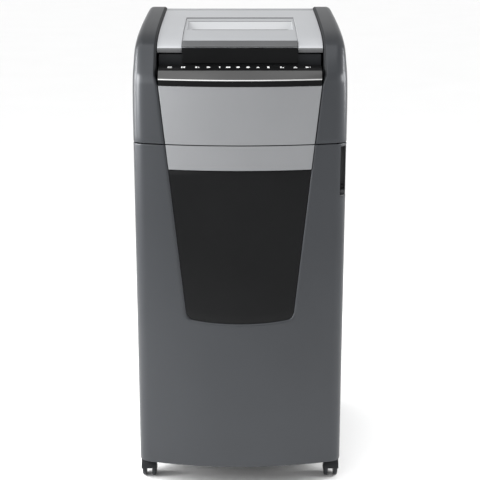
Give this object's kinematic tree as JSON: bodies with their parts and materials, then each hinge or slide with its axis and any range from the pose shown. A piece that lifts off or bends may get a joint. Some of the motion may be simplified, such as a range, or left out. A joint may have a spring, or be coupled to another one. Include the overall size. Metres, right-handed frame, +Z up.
{
  "type": "paper shredder",
  "caption": "Floor-standing automatic-feed paper shredder: a cabinet on casters with a windowed front door and waste bin, under a head with a lift-up lid, paper tray, rollers and cutters.",
  "frame": {"origin": "on the floor, under the middle of the body's plan", "axes": "+Z up, the front with the door and control panel faces -Y, +X is the viewer's right"},
  "size_m": [0.46, 0.56, 1.0562],
  "materials": {
    "charcoal_casing": "satin",
    "silver_panel": "satin",
    "pale_lid": "satin",
    "gloss_black": "gloss",
    "black_plastic": "fine grain",
    "bin_plastic": "grained",
    "plated_steel": "brushed",
    "cutter_steel": "ground",
    "nylon": "moulded",
    "black_rubber": "matt",
    "circuit_laminate": "lacquered"
  },
  "bodies": {
    "cabinet": {"cabinet_right_panel": "charcoal_casing", "cabinet_left_panel": "charcoal_casing", "cabinet_rear_panel": "charcoal_casing", "base_pan": "black_plastic", "deck_plate": "plated_steel", "shred_chute": "black_plastic", "waste_bin": "bin_plastic", "door_hinge_lower": "plated_steel", "door_hinge_upper": "plated_steel", "door_magnet": "black_plastic", "door_safety_switch": "black_plastic", "head_right_side": "charcoal_casing", "head_left_side": "charcoal_casing", "head_front_panel": "silver_panel", "control_panel": "gloss_black", "head_rear_cover": "charcoal_casing", "paper_tray": "black_plastic", "lid_hinge_rod": "plated_steel", "cutter_plate_right": "plated_steel", "cutter_plate_left": "plated_steel", "motor": "plated_steel", "feed_belt": "black_rubber", "circuit_board": "circuit_laminate", "power_inlet": "black_plastic", "fan_frame": "black_plastic"},
    "door": {"door_shell": "charcoal_casing", "door_band": "silver_panel", "door_window": "gloss_black", "door_inner_panel": "black_plastic", "door_grip": "black_plastic", "door_strike_plate": "plated_steel"},
    "lid": {"lid_shell": "pale_lid", "manual_feed_insert": "pale_lid", "lid_handle": "gloss_black", "lid_inner_panel": "black_plastic"},
    "press": {"press_plate": "black_plastic"},
    "cutter_front": {"cutter_shaft_front": "cutter_steel", "cutter_gear_front": "plated_steel"},
    "cutter_rear": {"cutter_shaft_rear": "cutter_steel", "cutter_gear_rear": "plated_steel"},
    "drive": {"drive_gear": "nylon"},
    "motor_rotor": {"motor_pinion": "plated_steel"},
    "feed_front": {"feed_roller_front": "black_rubber", "feed_gear_front": "nylon"},
    "feed_rear": {"feed_roller_rear": "black_rubber", "feed_gear_rear": "nylon"},
    "fan": {"fan_rotor": "black_plastic"},
    "switch": {"power_switch": "gloss_black"},
    "caster_front_left": {"caster_front_left_hood": "black_plastic"},
    "wheel_front_left_a": {"caster_front_left_wheel_a": "black_rubber"},
    "wheel_front_left_b": {"caster_front_left_wheel_b": "black_rubber"},
    "caster_front_right": {"caster_front_right_hood": "black_plastic"},
    "wheel_front_right_a": {"caster_front_right_wheel_a": "black_rubber"},
    "wheel_front_right_b": {"caster_front_right_wheel_b": "black_rubber"},
    "caster_rear_left": {"caster_rear_left_hood": "black_plastic"},
    "wheel_rear_left_a": {"caster_rear_left_wheel_a": "black_rubber"},
    "wheel_rear_left_b": {"caster_rear_left_wheel_b": "black_rubber"},
    "caster_rear_right": {"caster_rear_right_hood": "black_plastic"},
    "wheel_rear_right_a": {"caster_rear_right_wheel_a": "black_rubber"},
    "wheel_rear_right_b": {"caster_rear_right_wheel_b": "black_rubber"}
  },
  "joints": [
    {"name": "door_hinge", "type": "hinge", "parent": "cabinet", "child": "door", "pos_m": [-0.223, -0.212, 0.43], "axis": [0, 0, -1], "range_deg": [0, 110]},
    {"name": "lid_hinge", "type": "hinge", "parent": "cabinet", "child": "lid", "pos_m": [0, 0.172, 1.043], "axis": [-1, 0, 0], "range_deg": [0, 75]},
    {"name": "press_slide", "type": "slide", "parent": "lid", "child": "press", "axis": [0, 0, 1], "range_m": [0, 0.018], "stiffness_N_per_m": 150, "springref_m": -0.012},
    {"name": "cutter_front_spin", "type": "hinge", "parent": "cabinet", "child": "cutter_front", "pos_m": [0, -0.072, 0.855], "axis": [1, 0, 0], "continuous": true},
    {"name": "cutter_rear_spin", "type": "hinge", "parent": "cabinet", "child": "cutter_rear", "pos_m": [0, -0.032, 0.855], "axis": [1, 0, 0], "continuous": true},
    {"name": "drive_gear_spin", "type": "hinge", "parent": "cabinet", "child": "drive", "pos_m": [0.136, 0.028, 0.855], "axis": [1, 0, 0], "continuous": true},
    {"name": "motor_spin", "type": "hinge", "parent": "cabinet", "child": "motor_rotor", "pos_m": [0.136, 0.083, 0.855], "axis": [1, 0, 0], "continuous": true},
    {"name": "feed_front_spin", "type": "hinge", "parent": "cabinet", "child": "feed_front", "pos_m": [0, -0.066, 0.899], "axis": [1, 0, 0], "continuous": true},
    {"name": "feed_rear_spin", "type": "hinge", "parent": "cabinet", "child": "feed_rear", "pos_m": [0, -0.038, 0.899], "axis": [1, 0, 0], "continuous": true},
    {"name": "fan_spin", "type": "hinge", "parent": "cabinet", "child": "fan", "pos_m": [-0.093, 0.258, 0.867], "axis": [0, 1, 0], "continuous": true},
    {"name": "power_switch_tilt", "type": "hinge", "parent": "cabinet", "child": "switch", "pos_m": [0.1352, 0.273, 0.8385], "axis": [1, 0, 0], "range_deg": [0, 12]},
    {"name": "caster_front_left_swivel", "type": "hinge", "parent": "cabinet", "child": "caster_front_left", "pos_m": [-0.212, -0.178, 0.06], "axis": [0, 0, 1], "continuous": true},
    {"name": "caster_front_left_wheel_a_spin", "type": "hinge", "parent": "caster_front_left", "child": "wheel_front_left_a", "pos_m": [-0.212, -0.188, 0.022], "axis": [1, 0, 0], "continuous": true},
    {"name": "caster_front_left_wheel_b_spin", "type": "hinge", "parent": "caster_front_left", "child": "wheel_front_left_b", "pos_m": [-0.212, -0.188, 0.022], "axis": [1, 0, 0], "continuous": true},
    {"name": "caster_front_right_swivel", "type": "hinge", "parent": "cabinet", "child": "caster_front_right", "pos_m": [0.212, -0.178, 0.06], "axis": [0, 0, 1], "continuous": true},
    {"name": "caster_front_right_wheel_a_spin", "type": "hinge", "parent": "caster_front_right", "child": "wheel_front_right_a", "pos_m": [0.212, -0.188, 0.022], "axis": [1, 0, 0], "continuous": true},
    {"name": "caster_front_right_wheel_b_spin", "type": "hinge", "parent": "caster_front_right", "child": "wheel_front_right_b", "pos_m": [0.212, -0.188, 0.022], "axis": [1, 0, 0], "continuous": true},
    {"name": "caster_rear_left_swivel", "type": "hinge", "parent": "cabinet", "child": "caster_rear_left", "pos_m": [-0.212, 0.236, 0.06], "axis": [0, 0, 1], "continuous": true},
    {"name": "caster_rear_left_wheel_a_spin", "type": "hinge", "parent": "caster_rear_left", "child": "wheel_rear_left_a", "pos_m": [-0.212, 0.246, 0.022], "axis": [1, 0, 0], "continuous": true},
    {"name": "caster_rear_left_wheel_b_spin", "type": "hinge", "parent": "caster_rear_left", "child": "wheel_rear_left_b", "pos_m": [-0.212, 0.246, 0.022], "axis": [1, 0, 0], "continuous": true},
    {"name": "caster_rear_right_swivel", "type": "hinge", "parent": "cabinet", "child": "caster_rear_right", "pos_m": [0.212, 0.236, 0.06], "axis": [0, 0, 1], "continuous": true},
    {"name": "caster_rear_right_wheel_a_spin", "type": "hinge", "parent": "caster_rear_right", "child": "wheel_rear_right_a", "pos_m": [0.212, 0.246, 0.022], "axis": [1, 0, 0], "continuous": true},
    {"name": "caster_rear_right_wheel_b_spin", "type": "hinge", "parent": "caster_rear_right", "child": "wheel_rear_right_b", "pos_m": [0.212, 0.246, 0.022], "axis": [1, 0, 0], "continuous": true}
  ],
  "couplings": [
    {"joint": "cutter_rear_spin", "follows": "cutter_front_spin", "ratio": -1},
    {"joint": "drive_gear_spin", "follows": "cutter_front_spin", "ratio": 0.5},
    {"joint": "motor_spin", "follows": "cutter_front_spin", "ratio": -1.3333},
    {"joint": "feed_front_spin", "follows": "cutter_front_spin", "ratio": 1},
    {"joint": "feed_rear_spin", "follows": "cutter_front_spin", "ratio": -1}
  ]
}
